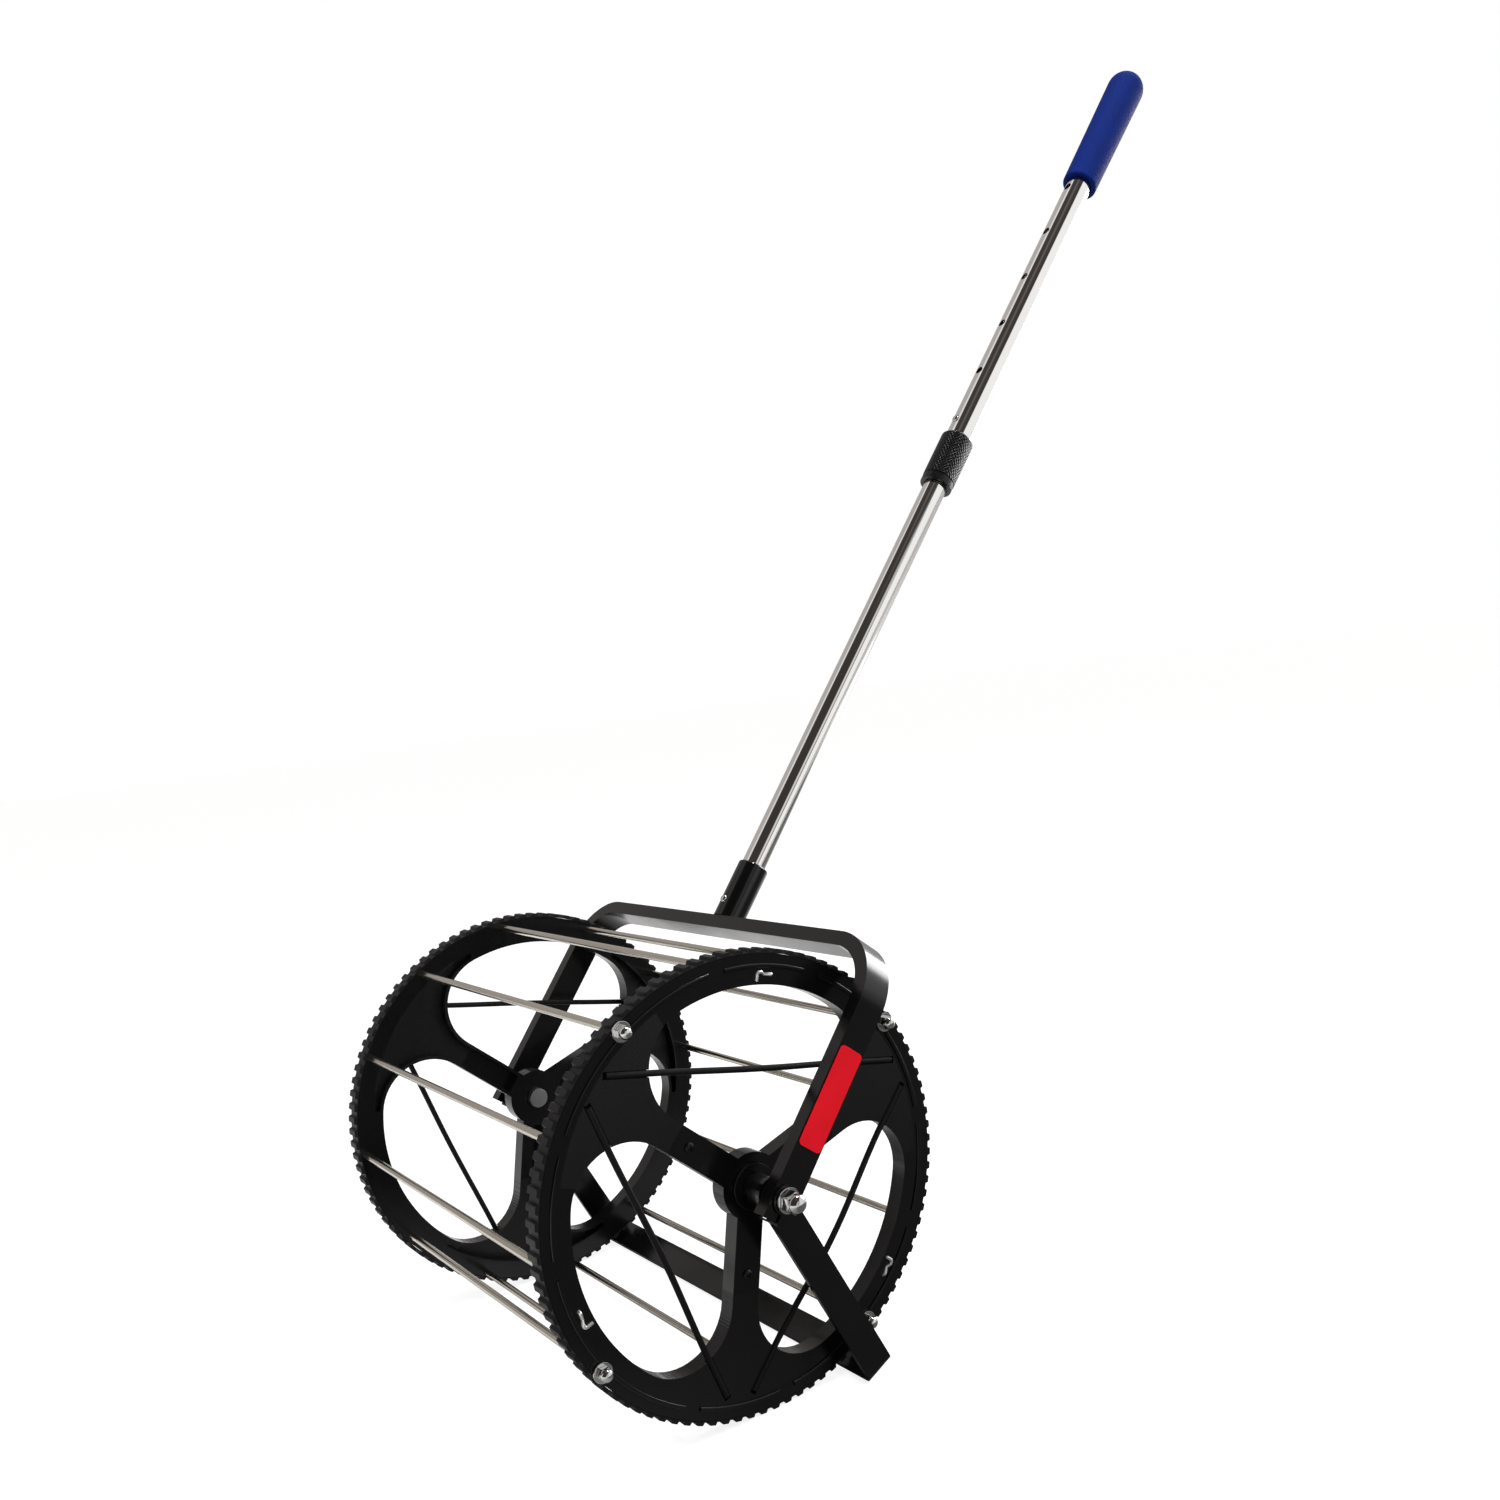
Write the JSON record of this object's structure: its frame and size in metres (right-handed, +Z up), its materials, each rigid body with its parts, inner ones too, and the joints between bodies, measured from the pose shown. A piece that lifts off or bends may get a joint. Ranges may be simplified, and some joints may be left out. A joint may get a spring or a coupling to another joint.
{
  "type": "tennis ball roller collector",
  "caption": "Rolling ball collector: a drum of steel rods between two lugged wheels, pushed by a telescopic handle on a yoke, with a folding stand.",
  "frame": {"origin": "bottom centre of the whole object's box at rest: floor level, half way between the two wheels", "axes": "+X along the axle towards the arm with the label, +Z up, +Y towards the user, the way the handle leans"},
  "size_m": [0.4144, 0.7906, 0.9317],
  "materials": {
    "wheel_plastic": "satin",
    "tread_rubber": "matte",
    "rod_steel": "satin",
    "chrome_nuts": "polished",
    "zinc_steel": "satin",
    "elastic_cord": "matte",
    "black_paint": "gloss",
    "black_plastic": "satin",
    "polished_tube": "polished",
    "blue_foam": "matte",
    "red_label": "gloss"
  },
  "bodies": {
    "yoke": {"axle_bolt_far": "zinc_steel", "axle_bolt_near": "zinc_steel", "axle_nut_far": "chrome_nuts", "axle_nut_near": "chrome_nuts", "axle_washer_far": "chrome_nuts", "axle_washer_near": "chrome_nuts", "label": "red_label", "leg_washer_far": "black_plastic", "leg_washer_near": "black_plastic", "socket": "black_paint", "spacer_far": "black_plastic", "spacer_near": "black_plastic", "stop_tab_far": "zinc_steel", "stop_tab_near": "zinc_steel", "yoke": "black_paint"},
    "drum": {"cord_far_1": "elastic_cord", "cord_far_2": "elastic_cord", "cord_far_3": "elastic_cord", "cord_near_1": "elastic_cord", "cord_near_2": "elastic_cord", "cord_near_3": "elastic_cord", "rod_1": "rod_steel", "rod_10": "rod_steel", "rod_11": "rod_steel", "rod_12": "rod_steel", "rod_2": "rod_steel", "rod_3": "rod_steel", "rod_4": "rod_steel", "rod_5": "rod_steel", "rod_6": "rod_steel", "rod_7": "rod_steel", "rod_8": "rod_steel", "rod_9": "rod_steel", "rod_nut_far_11": "chrome_nuts", "rod_nut_far_2": "chrome_nuts", "rod_nut_far_5": "chrome_nuts", "rod_nut_far_8": "chrome_nuts", "rod_nut_near_11": "chrome_nuts", "rod_nut_near_2": "chrome_nuts", "rod_nut_near_5": "chrome_nuts", "rod_nut_near_8": "chrome_nuts", "spoke_screw_far_1": "black_plastic", "spoke_screw_far_2": "black_plastic", "spoke_screw_far_3": "black_plastic", "spoke_screw_near_1": "black_plastic", "spoke_screw_near_2": "black_plastic", "spoke_screw_near_3": "black_plastic", "tread_far": "tread_rubber", "tread_near": "tread_rubber", "wheel_far": "wheel_plastic", "wheel_near": "wheel_plastic"},
    "stand": {"stand": "black_paint"},
    "lower_handle": {"lower_tube": "polished_tube", "lower_leaf_spring": "zinc_steel", "upper_leaf_spring": "zinc_steel"},
    "upper_handle": {"upper_tube": "polished_tube", "collar": "black_plastic", "grip": "blue_foam"},
    "lower_button": {"lower_button": "chrome_nuts"},
    "upper_button": {"upper_button": "chrome_nuts"}
  },
  "joints": [
    {"name": "drum_roll", "type": "hinge", "parent": "yoke", "child": "drum", "pos_m": [0, -0.25032, 0.145], "axis": [1, 0, 0], "continuous": true},
    {"name": "stand_fold", "type": "hinge", "parent": "yoke", "child": "stand", "pos_m": [0, -0.25032, 0.145], "axis": [1, 0, 0], "range_deg": [0, 105]},
    {"name": "lower_tube_pull", "type": "slide", "parent": "yoke", "child": "lower_handle", "axis": [0, 0.6327, 0.7744], "range_m": [0, 0.04], "deforming": ["lower_button", "lower_leaf_spring"]},
    {"name": "handle_length", "type": "slide", "parent": "lower_handle", "child": "upper_handle", "axis": [0, -0.6327, -0.7744], "range_m": [0, 0.25], "deforming": ["upper_button", "upper_leaf_spring"]},
    {"name": "lower_button_press", "type": "slide", "parent": "lower_handle", "child": "lower_button", "axis": [0, 0.7744, -0.6327], "range_m": [0, 0.004], "stiffness_N_per_m": 1500, "deforming": ["lower_leaf_spring"]},
    {"name": "upper_button_press", "type": "slide", "parent": "lower_handle", "child": "upper_button", "axis": [0, 0.7744, -0.6327], "range_m": [0, 0.003], "stiffness_N_per_m": 1500, "deforming": ["upper_leaf_spring"]}
  ]
}
